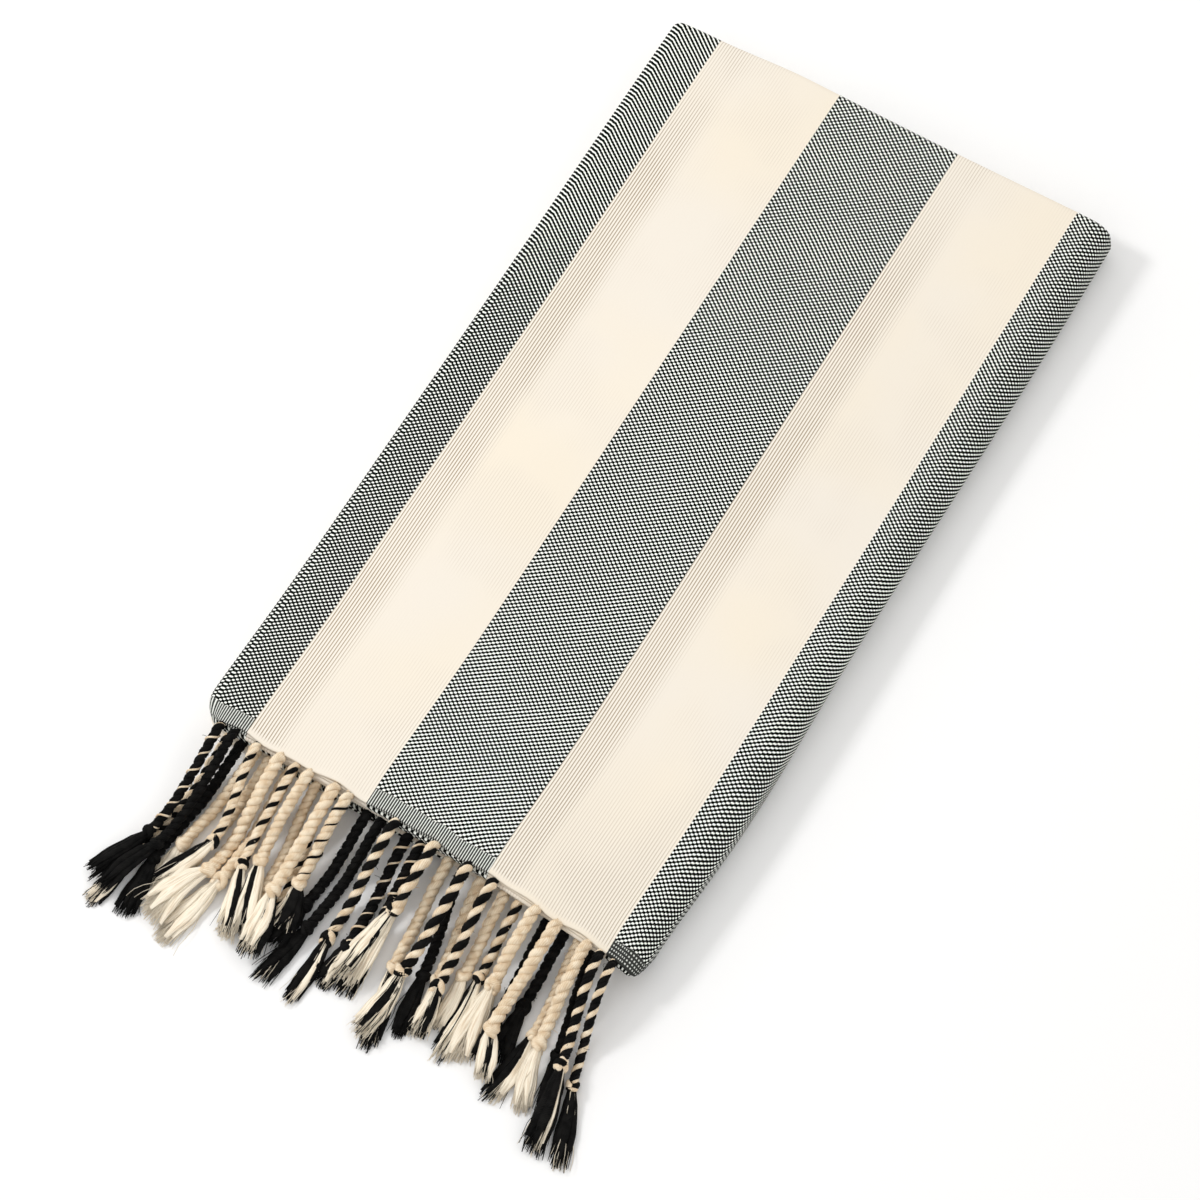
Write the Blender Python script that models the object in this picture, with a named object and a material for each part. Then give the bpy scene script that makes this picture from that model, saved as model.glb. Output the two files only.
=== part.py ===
"""Hammam towel: a striped flat-weave cloth with a knotted rope fringe at both ends.

The cloth is one solid. It is folded in four along its length and then in four across its width, so
sixteen layers lie on each other, and the last fold goes round all of them at the right. Both short
ends come out at the near side, one above the other, in each of the four stacks of four layers. Each
short end carries its own fringe, which leaves the hem, drops and comes to rest on the floor.

Frame, in metres: X across the folded towel, Y along it with the fringe towards -Y, +Z up. The origin
is on the underside, in the middle of the folded cloth.
"""

import math
from collections import namedtuple

import bmesh
import bpy
from mathutils import Vector

MM = 0.001

# The cloth as woven
FLAT_WIDTH = 980 * MM
FLAT_LENGTH = 1813 * MM
CLOTH = 1.1 * MM
LAYER_PITCH = 1.5 * MM  # from one layer to the next
STACK_PITCH = 5.95 * MM  # from one stack of four layers to the next
LEFT_FOLD = 484 * MM  # how far across the flat width the left fold of the top layer lies

# The folded towel
TOP_WIDTH = 250 * MM
STACK = 3 * LAYER_PITCH + CLOTH
HEIGHT = 3 * STACK_PITCH + STACK

# The fringe's backing, a narrow strip of the cloth's end
STRIP_DEPTH = 4.0 * MM
STRIP_GAP = 0.3 * MM

# Where the solid has its rows: at these distances from both ends of a straight run, and how many
# more of them in a run's middle and in each turn
WIDTH_ENDS = (0.0, 7 * MM, 17 * MM, 42 * MM)
LENGTH_ENDS = (0.0, 7 * MM, 17 * MM)
WIDTH_ROWS = 1
LENGTH_ROWS = 3
TURN_ROWS = 4
WIDE_TURN_ROWS = 8
FAR_TURN_ROWS = 6

# The ropes
ROPE_ROOT = 5.0 * MM
ROPE_CLEAR = 0.5 * MM
ROPE_SAG = 0.011 / MM  # how sharply a rope bends down, as height lost per length squared
ROPE_SAMPLE = 1.5 * MM
ROPE_SMOOTH = 5  # samples to each side over which its bends are eased

Move = namedtuple("Move", "length side rows")
Part = namedtuple("Part", "start length side rows place heading")
Rope = namedtuple("Rope", "root knot_x knot_out tip_x tip_out")
Section = namedtuple("Section", "along width height")
Sample = namedtuple("Sample", "place half_width half_height")
Corner = namedtuple("Corner", "x_side y_side radius")

# Ropes from the first end, in the second stack from the top, in the order in which they fall: where
# each one leaves the hem, and where its knot and its tip lie, across and out from the hem.
UNDER_ROPES = [
    Rope(-107.0, -118, 74, -125, 100),
    Rope(-99.5, -109, 66, -107, 97),
    Rope(-91.5, -101, 53, -101, 79),
    Rope(-84.0, -92, 57, -94, 84),
    Rope(-72.0, -76, 61, -86, 99),
    Rope(-58.0, -56, 56, -61, 82),
    Rope(-51.0, -45, 60, -48, 84),
    Rope(-29.5, -35, 51, -41, 76),
    Rope(-22.0, -28, 60, -36, 93),
    Rope(-7.0, -7, 58, -8, 81),
    Rope(0.5, 0, 47, 3, 80),
    Rope(16.0, 17, 56, 27, 97),
    Rope(24.0, 31, 53, 35, 85),
    Rope(34.0, 38, 51, 43, 80),
    Rope(47.0, 47, 43, 49, 73),
    Rope(55.0, 54, 41, 58, 85),
    Rope(71.0, 71, 51, 74, 76),
    Rope(81.0, 79, 43, 81, 72),
    Rope(88.5, 90, 53, 88, 90),
    Rope(97.0, 105, 55, 113, 82),
]

# Ropes from the other end, in the top stack.
TOP_ROPES = [
    Rope(-103.5, -110, 61, -124, 94),
    Rope(-111.0, -117, 58, -132, 89),
    Rope(-91.0, -88, 47, -101, 77),
    Rope(-69.5, -70, 50, -60, 84),
    Rope(-78.0, -83, 59, -98, 93),
    Rope(-62.0, -64, 43, -53, 79),
    Rope(-47.5, -50, 54, -44, 87),
    Rope(-40.0, -42, 44, -37, 69),
    Rope(-14.0, -17, 60, -18, 96),
    Rope(8.0, 4, 33, -1, 75),
    Rope(27.0, 23, 57, 19, 94),
    Rope(41.0, 41, 57, 44, 80),
    Rope(65.0, 62, 42, 66, 81),
    Rope(77.0, 73, 61, 81, 84),
    Rope(94.0, 96, 57, 104, 88),
    Rope(101.5, 110, 61, 117, 101),
    Rope(109.0, 118, 64, 132, 101),
]

# A rope's own form: its width and height at shares of the way from the hem to the knot, and from the
# knot to the tip, where its loose ends spread. The solid has a ring at each.
ROPE_SECTIONS = [
    Section(0.12, 4.4, 3.2),
    Section(0.25, 4.4, 4.2),
    Section(0.40, 4.4, 4.2),
    Section(0.55, 4.4, 4.2),
    Section(0.70, 4.4, 4.2),
    Section(0.90, 4.4, 4.2),
]
KNOT_SECTIONS = [Section(0.96, 6.0, 5.2), Section(1.04, 6.0, 5.2)]
TUFT_SECTIONS = [
    Section(1.16, 4.4, 3.8),
    Section(1.38, 4.8, 3.5),
    Section(1.60, 5.4, 3.2),
    Section(1.80, 5.8, 2.8),
    Section(2.00, 6.2, 2.4),
]
SECTIONS = ROPE_SECTIONS + KNOT_SECTIONS + TUFT_SECTIONS

# How the folded towel lies
CORNERS = [Corner(-1, -1, 13 * MM), Corner(1, -1, 6 * MM), Corner(1, 1, 3 * MM), Corner(-1, 1, 3 * MM)]
CORNER_LIMIT = 1.2  # how far out, in radii, a corner's roundness still grows
HEM_LINE = -226.6 * MM
HEM_BACK = 3.4 * MM  # how far the left end of the hem is drawn back
HEM_CORNER = 8.5 * MM  # how far its right end hangs forward in the top layers
HEM_CORNER_BACK = 2 * MM  # and how far back it lies in the lowest
HEM_CORNER_FROM = -75 * MM  # where across the towel this begins
HANG_FROM = 0.4  # the share of the height above which layers hang, and over what share they come to it
HANG_OVER = 0.4
HEM_REACH = 160 * MM  # how far up the towel the hem's line is felt, and the far edge's down it
FAR_BACK = 2.3 * MM  # how far the left end of the far edge is drawn back
FAR_BACK_FROM = -50 * MM  # where across the towel this begins, and over what width it comes to it
FAR_BACK_OVER = 50 * MM
SHOULDER = 18 * MM  # how far in from a side the top begins to fall
RIGHT_FALL = 0.05
LEFT_FALL = 0.04
HEM_FALL = 0.10
SQUARE = 0.25  # how much squarer than a half circle the upper half of the right side is
WAVE = 0.7 * MM  # how far the layers rise, fall and slip, and over what lengths
SLIP = 1.6 * MM
WAVE_ACROSS = 31 * MM
WAVE_ALONG = 47 * MM
SLIP_ALONG = 55 * MM
SLIP_TURN = 5.0  # how far round the slip has gone from the lowest layer to the highest
HEM_SLIP = 2.0 * MM  # how far the hem has slipped to the left, and how much further its right end
HEM_SLIP_RIGHT = 2.6 * MM


def fold_line(place, heading, moves):
    """The parts of a line folded in a plane: straight runs, and half turns to its left or right."""
    parts = []
    start = 0.0
    for move in moves:
        parts.append(Part(start, move.length, move.side, move.rows, place, heading))
        left = Vector((-heading.y, heading.x))
        if move.side:
            place = place + left * (2 * move.side * move.length / math.pi)
            heading = -heading
        else:
            place = place + heading * move.length
        start += move.length
    return parts


def on_line(parts, distance):
    """The place on a folded line at a distance along it, and the direction to its left there."""
    part = parts[0]
    for later in parts[1:]:
        if distance >= later.start:
            part = later
    passed = distance - part.start
    left = Vector((-part.heading.y, part.heading.x))
    if not part.side:
        return part.place + part.heading * passed, left
    radius = part.length / math.pi
    angle = part.side * passed / radius
    turned = left * math.cos(angle) - part.heading * math.sin(angle)
    centre = part.place + left * (part.side * radius)
    return centre - turned * (part.side * radius), turned


def stations(parts, ends, first, last):
    """Distances along a folded line at which the solid has its rows, from first to last."""
    found = [first]
    for part in parts:
        if part.side:
            rows = [part.length * row / part.rows for row in range(part.rows)]
        else:
            middle = part.length - 2 * ends[-1]
            rows = list(ends)
            rows += [ends[-1] + middle * (row + 1) / (part.rows + 1) for row in range(part.rows)]
            rows += [part.length - row for row in reversed(ends[1:])]
        found += [part.start + row for row in rows if first + MM < part.start + row < last - MM]
    return found + [last]


def half_turn(radius, side, rows):
    return Move(math.pi * radius, side, rows)


def width_line():
    """The fold across the width, in (x, z), of the middle of a stack of four layers."""
    small = STACK_PITCH / 2
    large = 1.5 * STACK_PITCH
    left_centre = -TOP_WIDTH / 2 + small + STACK / 2
    right_centre = TOP_WIDTH / 2 - large - STACK / 2
    run = right_centre - left_centre
    first = LEFT_FOLD - run - 1.5 * math.pi * small
    last = FLAT_WIDTH - first - 2 * run - math.pi * (2 * small + large)
    start = Vector((right_centre - first, STACK_PITCH + STACK / 2))
    moves = [
        Move(first, 0, WIDTH_ROWS),
        half_turn(small, 1, TURN_ROWS),
        Move(run, 0, WIDTH_ROWS),
        half_turn(small, -1, TURN_ROWS),
        Move(run, 0, WIDTH_ROWS),
        half_turn(large, -1, WIDE_TURN_ROWS),
        Move(last, 0, WIDTH_ROWS),
    ]
    return fold_line(start, Vector((1, 0)), moves)


def length_line():
    """The fold along the length, in (y, height in a stack): four layers, both ends at the hem."""
    small = LAYER_PITCH / 2
    large = 1.5 * LAYER_PITCH
    run = (FLAT_LENGTH - math.pi * (2 * small + large)) / 4
    start = Vector((HEM_LINE, 2 * LAYER_PITCH + CLOTH / 2))
    moves = [
        Move(run, 0, LENGTH_ROWS),
        half_turn(small, -1, TURN_ROWS),
        Move(run, 0, LENGTH_ROWS),
        half_turn(small, 1, TURN_ROWS),
        Move(run, 0, LENGTH_ROWS),
        half_turn(large, 1, FAR_TURN_ROWS),
        Move(run, 0, LENGTH_ROWS),
    ]
    return fold_line(start, Vector((1, 0)), moves)


WIDTH_LINE = width_line()
LENGTH_LINE = length_line()
TOP_RUN = WIDTH_LINE[4]
SECOND_RUN = WIDTH_LINE[2]
COLUMNS = stations(WIDTH_LINE, WIDTH_ENDS, 0.0, FLAT_WIDTH)


def eased(share):
    """0 to 1 with level ends."""
    share = min(max(share, 0.0), 1.0)
    return share * share * (3 - 2 * share)


def round_corner(x, y, corner):
    """Draws a square corner of the outline in to a round one."""
    edge_x = TOP_WIDTH / 2
    edge_y = -HEM_LINE
    u = (x * corner.x_side - edge_x) / corner.radius + 1
    v = (y * corner.y_side - edge_y) / corner.radius + 1
    if u <= 0 or v <= 0:
        return x, y
    drawn_u = u * math.sqrt(1 - min(v, CORNER_LIMIT) ** 2 / 2)
    drawn_v = v * math.sqrt(1 - min(u, CORNER_LIMIT) ** 2 / 2)
    x = corner.x_side * (edge_x + (drawn_u - 1) * corner.radius)
    y = corner.y_side * (edge_y + (drawn_v - 1) * corner.radius)
    return x, y


def settled(x, y, z):
    """Where a point of the evenly folded towel comes to lie: rounder, softer and less even."""
    for corner in CORNERS:
        x, y = round_corner(x, y, corner)
    height_share = z / HEIGHT
    bend = x - TOP_WIDTH / 2 + HEIGHT / 2
    rise = 2 * height_share - 1
    if bend > 0 and rise > 0:
        x += bend * SQUARE * rise ** 2
    near_hem = eased((HEM_LINE + HEM_REACH - y) / HEM_REACH)
    near_far = eased((HEM_LINE + HEM_REACH + y) / HEM_REACH)
    far_share = eased((FAR_BACK_FROM - x) / FAR_BACK_OVER)
    corner_share = max(0.0, (x - HEM_CORNER_FROM) / (TOP_WIDTH / 2 - HEM_CORNER_FROM)) ** 2
    hanging = eased((height_share - HANG_FROM) / HANG_OVER)
    hang = HEM_CORNER * hanging - HEM_CORNER_BACK * (1 - hanging)
    right = eased((x - TOP_WIDTH / 2 + SHOULDER) / SHOULDER)
    left = eased((SHOULDER - TOP_WIDTH / 2 - x) / SHOULDER)
    hem = eased((SHOULDER + HEM_LINE - y) / SHOULDER) * (0.5 + 0.5 * corner_share)
    wave = math.sin(x / WAVE_ACROSS + 0.8) * math.sin(y / WAVE_ALONG + 0.4)
    slip = math.sin(y / SLIP_ALONG + SLIP_TURN * height_share) * (1 - height_share) * (near_hem - 1)
    z *= 1 - RIGHT_FALL * right - LEFT_FALL * left - HEM_FALL * hem + WAVE / HEIGHT * wave
    x += SLIP * slip - near_hem ** 3 * (HEM_SLIP + HEM_SLIP_RIGHT * right)
    y += near_hem * (HEM_BACK * (1 - corner_share) - hang * corner_share)
    y -= near_far * far_share * FAR_BACK
    return Vector((x, y, z))


def cloth_point(across, along, offset):
    """A point of the folded cloth, from its place in the flat cloth and its offset from mid-thickness."""
    layer, layer_left = on_line(LENGTH_LINE, along)
    layer = layer - layer_left * offset
    middle, middle_left = on_line(WIDTH_LINE, across)
    middle = middle + middle_left * (layer.y - STACK / 2)
    return settled(middle.x, layer.x, middle.y)


def chord_point(across, along, offset):
    """A point on the flat facets of the solid, which run straight from one column of it to the next."""
    for before, after in zip(COLUMNS, COLUMNS[1:]):
        if across <= after:
            break
    share = (across - before) / (after - before)
    return cloth_point(before, along, offset).lerp(cloth_point(after, along, offset), share)


def cloth_grid(mesh, across, along):
    """Rows of vertices on both faces of the cloth, as grid[face][column][row]."""
    grid = []
    for offset in (-CLOTH / 2, CLOTH / 2):
        grid.append([[mesh.verts.new(chord_point(s, t, offset)) for t in along] for s in across])
    return grid


def close_grid(mesh, grid, open_edge=(), open_row=0):
    """Faces over both sides and the four edges of a cloth grid, but for openings in one end row."""
    under, over = grid
    columns = len(under) - 1
    rows = len(under[0]) - 1
    for i in range(columns):
        for j in range(rows):
            mesh.faces.new((under[i][j], under[i][j + 1], under[i + 1][j + 1], under[i + 1][j]))
            mesh.faces.new((over[i][j], over[i + 1][j], over[i + 1][j + 1], over[i][j + 1]))
        for j in (0, rows):
            if i in open_edge and j == open_row:
                continue
            mesh.faces.new((under[i][j], under[i + 1][j], over[i + 1][j], over[i][j]))
    for j in range(rows):
        for i in (0, columns):
            mesh.faces.new((under[i][j], over[i][j], over[i][j + 1], under[i][j + 1]))


def add_object(name, mesh, material):
    """Turns a mesh under construction into a named object of one material."""
    bmesh.ops.recalc_face_normals(mesh, faces=mesh.faces)
    if mesh.calc_volume(signed=True) < 0:
        bmesh.ops.reverse_faces(mesh, faces=mesh.faces)
    data = bpy.data.meshes.new(name)
    mesh.to_mesh(data)
    mesh.free()
    data.materials.append(material)
    data.shade_smooth()
    data.set_sharp_from_angle(angle=math.radians(50))
    added = bpy.data.objects.new(name, data)
    bpy.context.collection.objects.link(added)
    return added


def fabric(name, colour, roughness):
    material = bpy.data.materials.new(name)
    material.use_nodes = True
    shader = material.node_tree.nodes["Principled BSDF"]
    shader.inputs["Base Color"].default_value = (*colour, 1.0)
    shader.inputs["Roughness"].default_value = roughness
    shader.inputs["Metallic"].default_value = 0.0
    return material


def build_cloth(material):
    """The towel without the narrow strips at its ends, which carry the fringe."""
    mesh = bmesh.new()
    trim = STRIP_DEPTH + STRIP_GAP
    along = stations(LENGTH_LINE, LENGTH_ENDS, trim, FLAT_LENGTH - trim)
    close_grid(mesh, cloth_grid(mesh, COLUMNS, along))
    return add_object("towel", mesh, material)


def root_across(rope, run):
    """How far across the flat cloth a rope is rooted, from its place on the hem of a straight run."""
    return run.start + (rope.root * MM - run.place.x) * run.heading.x


def rope_plan(root, rope):
    """Points of a rope seen from above: straight out of the hem, in a slow bend to its knot, to its tip."""
    knot = Vector((rope.knot_x * MM, HEM_LINE - rope.knot_out * MM))
    tip = Vector((rope.tip_x * MM, HEM_LINE - rope.tip_out * MM))
    start = root.to_2d()
    leave = Vector((0, -1)) * (knot - start).length
    arrive = (tip - start).normalized() * (knot - start).length
    plan = []
    steps = round((knot - start).length / ROPE_SAMPLE)
    for i in range(steps):
        a = i / steps
        b = 1 - a
        bend = start * (b * b * (1 + 2 * a)) + leave * (a * b * b)
        bend = bend + knot * (a * a * (1 + 2 * b)) - arrive * (a * a * b)
        plan.append((a, bend))
    steps = round((tip - knot).length / ROPE_SAMPLE)
    for i in range(steps + 1):
        plan.append((1 + i / steps, knot.lerp(tip, i / steps)))
    return plan


def section_at(along):
    """A rope's width and height at a share of its way, 0 at the hem, 1 at the knot and 2 at the tip."""
    before = Section(0.0, ROPE_ROOT / MM, CLOTH / MM)
    for after in SECTIONS:
        if along <= after.along:
            share = (along - before.along) / (after.along - before.along)
            width = before.width + (after.width - before.width) * share
            height = before.height + (after.height - before.height) * share
            return width * MM, height * MM
        before = after
    return before.width * MM, before.height * MM


def height_over(point, half_width, half_height, fallen):
    """How high a point of a rope has to be to clear the ropes that already lie there."""
    needed = half_height
    for other in fallen:
        reach = half_width + other.half_width + ROPE_CLEAR
        if (other.place.to_2d() - point).length < reach:
            needed = max(needed, other.place.z + half_height + other.half_height + ROPE_CLEAR)
    return needed


def lay_rope(root, rope, fallen):
    """The rope's middle line, let down from its root on the floor and on the ropes below it."""
    plan = rope_plan(root, rope)
    passed = [0.0]
    for (_, before), (_, after) in zip(plan, plan[1:]):
        passed.append(passed[-1] + (after - before).length)
    sizes = [section_at(along) for along, _ in plan]
    needs = [root.z]
    for (_, point), (width, height) in zip(plan[1:], sizes[1:]):
        needs.append(height_over(point, width / 2, height / 2, fallen))
    heights = [max(n - ROPE_SAG * (p - q) ** 2 for n, q in zip(needs, passed)) for p in passed]
    eased_heights = []
    for i, need in enumerate(needs):
        reach = min(ROPE_SMOOTH, i, len(needs) - 1 - i)
        near = heights[i - reach : i + reach + 1]
        eased_heights.append(max(need, sum(near) / len(near)))
    eased_heights[0] = root.z
    line = [(along, Vector((*point, z))) for (along, point), z in zip(plan, eased_heights)]
    for i, (_, place) in enumerate(line):
        ahead = line[min(i + 1, len(line) - 1)][1] - line[max(i - 1, 0)][1]
        steepness = ahead.length / ahead.to_2d().length
        fallen.append(Sample(place, sizes[i][0] / 2, sizes[i][1] / 2 * steepness))
    return line


def ring_places(line, index):
    """The corners of a rope's section: lower left, lower right, upper right, upper left."""
    along, place = line[index]
    ahead = (line[min(index + 1, len(line) - 1)][1] - line[index - 1][1]).normalized()
    side = Vector((0, 0, 1)).cross(ahead).normalized()
    up = ahead.cross(side)
    width, height = section_at(along)
    corners = ((-1, -1), (1, -1), (1, 1), (-1, 1))
    return [place + side * (a * width / 2) + up * (b * height / 2) for a, b in corners]


def grow_rope(mesh, edge, line):
    """Draws a rope's solid out of the open edge of the backing strip."""
    level = sorted(edge, key=lambda vertex: vertex.co.z)
    low = sorted(level[:2], key=lambda vertex: vertex.co.x)
    high = sorted(level[2:], key=lambda vertex: -vertex.co.x)
    ring = low + high
    last = len(line) - 1
    for section in SECTIONS:
        index = min(range(1, last + 1), key=lambda i: abs(line[i][0] - section.along))
        grown = [mesh.verts.new(place) for place in ring_places(line, index)]
        for i in range(4):
            mesh.faces.new((ring[i], ring[i - 1], grown[i - 1], grown[i]))
        ring = grown
    mesh.faces.new(ring)


def build_fringe(name, ropes, run, first, last, end_row, material, fallen):
    """One end of the towel: a narrow strip of its cloth, with the ropes that grow out of it."""
    mesh = bmesh.new()
    roots = {}
    across = COLUMNS
    for rope in ropes:
        middle = root_across(rope, run)
        edges = (middle - ROPE_ROOT / 2, middle + ROPE_ROOT / 2)
        across = sorted([s for s in across if not edges[0] - MM < s < edges[1] + MM] + list(edges))
        roots[edges[0]] = rope
    grid = cloth_grid(mesh, across, (first, last))
    columns = {i: roots[s] for i, s in enumerate(across) if s in roots}
    close_grid(mesh, grid, columns, end_row)
    places = {rope: column for column, rope in columns.items()}
    for rope in ropes:
        column = places[rope]
        edge = [grid[face][i][end_row] for i in (column, column + 1) for face in (0, 1)]
        root = sum((vertex.co for vertex in edge), Vector()) / 4
        grow_rope(mesh, edge, lay_rope(root, rope, fallen))
    return add_object(name, mesh, material)


def main():
    for old in list(bpy.data.objects):
        bpy.data.objects.remove(old, do_unlink=True)
    build_cloth(fabric("striped_cotton", (0.72, 0.66, 0.56), 0.9))
    yarn = fabric("cotton_rope", (0.70, 0.60, 0.46), 0.85)
    fallen = []
    build_fringe("fringe_under", UNDER_ROPES, SECOND_RUN, 0.0, STRIP_DEPTH, 0, yarn, fallen)
    start = FLAT_LENGTH - STRIP_DEPTH
    build_fringe("fringe_top", TOP_ROPES, TOP_RUN, start, FLAT_LENGTH, 1, yarn, fallen)


main()
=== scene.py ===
"""Looks of a folded hammam towel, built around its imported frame.

The cloth is one fine sheet on the folds of its solid, with its weave worked out from its own flat
coordinates. Each rope of the fringe is twisted from plies, knotted, and ends in a tuft of loose yarn.
Frame, in metres: X across the folded towel, -Y towards the fringe, +Z up.
"""

import random
from collections import namedtuple
from math import ceil, cos, exp, pi, radians, sin, sqrt

import bpy
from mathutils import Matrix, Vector


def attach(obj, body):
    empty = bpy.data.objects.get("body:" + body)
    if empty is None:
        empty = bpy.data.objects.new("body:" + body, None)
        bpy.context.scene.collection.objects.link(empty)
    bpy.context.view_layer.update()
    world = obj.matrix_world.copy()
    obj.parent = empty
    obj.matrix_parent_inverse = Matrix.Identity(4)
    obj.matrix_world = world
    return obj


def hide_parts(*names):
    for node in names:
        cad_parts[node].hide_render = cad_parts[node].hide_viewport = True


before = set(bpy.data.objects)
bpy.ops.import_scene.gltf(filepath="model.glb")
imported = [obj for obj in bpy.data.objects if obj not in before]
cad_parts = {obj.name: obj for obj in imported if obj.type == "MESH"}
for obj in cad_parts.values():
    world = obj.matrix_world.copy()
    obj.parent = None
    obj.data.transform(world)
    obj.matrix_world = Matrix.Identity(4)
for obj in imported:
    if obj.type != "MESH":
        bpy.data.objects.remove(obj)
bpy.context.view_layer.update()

MM = 0.001
UP = Vector((0, 0, 1))

# ---- the fold, as in the solids
FLAT_WIDTH = 980 * MM
FLAT_LENGTH = 1813 * MM
CLOTH = 1.1 * MM
LAYER_PITCH = 1.5 * MM  # from one layer to the next
STACK_PITCH = 5.95 * MM  # from one stack of four layers to the next
LEFT_FOLD = 484 * MM  # how far across the flat width the left fold of the top layer lies
TOP_WIDTH = 250 * MM
STACK = 3 * LAYER_PITCH + CLOTH
HEIGHT = 3 * STACK_PITCH + STACK

Move = namedtuple("Move", "length side")
Part = namedtuple("Part", "start length side place heading")
Corner = namedtuple("Corner", "x_side y_side radius")

CORNERS = [Corner(-1, -1, 13 * MM), Corner(1, -1, 6 * MM), Corner(1, 1, 3 * MM), Corner(-1, 1, 3 * MM)]
CORNER_LIMIT = 1.2  # how far out, in radii, a corner's roundness still grows
HEM_LINE = -226.6 * MM
HEM_BACK = 3.4 * MM  # how far the left end of the hem is drawn back
HEM_CORNER = 8.5 * MM  # how far its right end hangs forward in the top layers
HEM_CORNER_BACK = 2 * MM  # and how far back it lies in the lowest
HEM_CORNER_FROM = -75 * MM  # where across the towel this begins
HANG_FROM = 0.4  # the share of the height above which layers hang, and over what share they come to it
HANG_OVER = 0.4
HEM_REACH = 160 * MM  # how far up the towel the hem's line is felt, and the far edge's down it
FAR_BACK = 2.3 * MM  # how far the left end of the far edge is drawn back
FAR_BACK_FROM = -50 * MM  # where across the towel this begins, and over what width it comes to it
FAR_BACK_OVER = 50 * MM
SHOULDER = 18 * MM  # how far in from a side the top begins to fall
RIGHT_FALL = 0.05
LEFT_FALL = 0.04
HEM_FALL = 0.10
HEM_FALL_LEFT = 0.5  # the share of it that the left end of the hem has
SQUARE = 0.25  # how much squarer than a half circle the upper half of the right side is
WAVE = 0.7 * MM  # how far the layers rise, fall and slip, and over what lengths
SLIP = 1.6 * MM
WAVE_ACROSS = 31 * MM
WAVE_ALONG = 47 * MM
WAVE_SHIFT = (0.8, 0.4)  # how far along its waves the towel's middle lies, across and along
SLIP_ALONG = 55 * MM
SLIP_TURN = 5.0  # how far round the slip has gone from the lowest layer to the highest
HEM_SLIP = 2.0 * MM  # how far the hem has slipped to the left, and how much further its right end
HEM_SLIP_RIGHT = 2.6 * MM

# The top layer's own soft ridges, with troughs between them: places, lengths, widths and rises in mm,
# and slants in degrees
Crease = namedtuple("Crease", "x y angle length width rise")
CREASES = [
    Crease(-60, -30, 62, 120, 16, 0.5),
    Crease(10, 120, 75, 150, 20, 0.4),
    Crease(70, 20, 100, 130, 15, 0.4),
    Crease(-20, -150, 80, 90, 12, 0.5),
    Crease(95, -150, 70, 80, 11, 0.6),
    Crease(-100, 110, 95, 140, 12, 0.4),
]
HEM_LIFT = 0.9 * MM  # how far the hem's free edge curls up, over what length, and how far it ripples
HEM_LIFT_REACH = 16 * MM
HEM_RIPPLE = 1.1 * MM
RIPPLE_SHORT = 4.3 * MM  # the two waves of its ripples, and how far the second is shifted
RIPPLE_LONG = 7.9 * MM
RIPPLE_SHIFT = 2.0

# Rows of the sheet: how far apart on the top layer, on the hidden layers and round a turn
FINE_ROW = 3.0 * MM
COARSE_ROW = 30 * MM
TURN_ROWS = 8
WIDE_TURN_ROWS = 20
WIDE_TURN = 20 * MM  # the length from which a turn counts as wide
SIDE_ROWS = (0.0, 1 * MM, 3 * MM, 6 * MM, 10 * MM)  # beside a turn or an end

# ---- the ropes, as in the solids
ROPE_ROOT = 5.0 * MM
ROPE_CLEAR = 0.5 * MM
ROPE_SAG = 0.011 / MM  # how sharply a rope bends down, as height lost per length squared
ROPE_SAMPLE = 1.5 * MM
ROPE_SMOOTH = 5  # samples to each side over which its bends are eased

Rope = namedtuple("Rope", "root knot_x knot_out tip_x tip_out plies black spread size")
Section = namedtuple("Section", "along width height")
Sample = namedtuple("Sample", "place half_width half_height")

# In the order in which they fall: where each rope leaves the hem, where its knot and its tip lie,
# across and out from the hem, its plies (c cream, k black, and thin threads f cream and b black), the
# share of black yarn in its tuft, how far the tuft spreads, and the rope's size.
UNDER_ROPES = [
    Rope(-107.0, -118, 74, -125, 100, "ck", 0.25, 0.16, 0.9),
    Rope(-99.5, -109, 66, -107, 97, "kk", 1.0, 0.14, 1.0),
    Rope(-91.5, -101, 53, -101, 79, "cc", 0.0, 0.20, 1.0),
    Rope(-84.0, -92, 57, -94, 84, "cc", 0.0, 0.22, 0.9),
    Rope(-72.0, -76, 61, -86, 99, "cc", 0.0, 0.28, 1.1),
    Rope(-58.0, -56, 56, -61, 82, "cc", 0.1, 0.20, 0.9),
    Rope(-51.0, -45, 60, -48, 84, "cck", 0.5, 0.16, 0.9),
    Rope(-29.5, -35, 51, -41, 76, "kk", 1.0, 0.16, 1.0),
    Rope(-22.0, -28, 60, -36, 93, "kk", 0.95, 0.16, 1.0),
    Rope(-7.0, -7, 58, -8, 81, "kkf", 0.9, 0.18, 1.0),
    Rope(0.5, 0, 47, 3, 80, "kkf", 0.7, 0.16, 1.0),
    Rope(16.0, 17, 56, 27, 97, "cc", 0.9, 0.16, 1.0),
    Rope(24.0, 31, 53, 35, 85, "kk", 1.0, 0.16, 1.0),
    Rope(34.0, 38, 51, 43, 80, "cc", 0.1, 0.16, 1.0),
    Rope(47.0, 47, 43, 49, 73, "cc", 0.1, 0.16, 1.0),
    Rope(55.0, 54, 41, 58, 85, "ck", 0.4, 0.22, 0.9),
    Rope(71.0, 71, 51, 74, 76, "kk", 1.0, 0.16, 1.0),
    Rope(81.0, 79, 43, 81, 72, "kk", 1.0, 0.20, 1.0),
    Rope(88.5, 90, 53, 88, 90, "cc", 0.25, 0.24, 0.9),
    Rope(97.0, 105, 55, 113, 82, "kk", 1.0, 0.16, 1.0),
]
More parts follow.
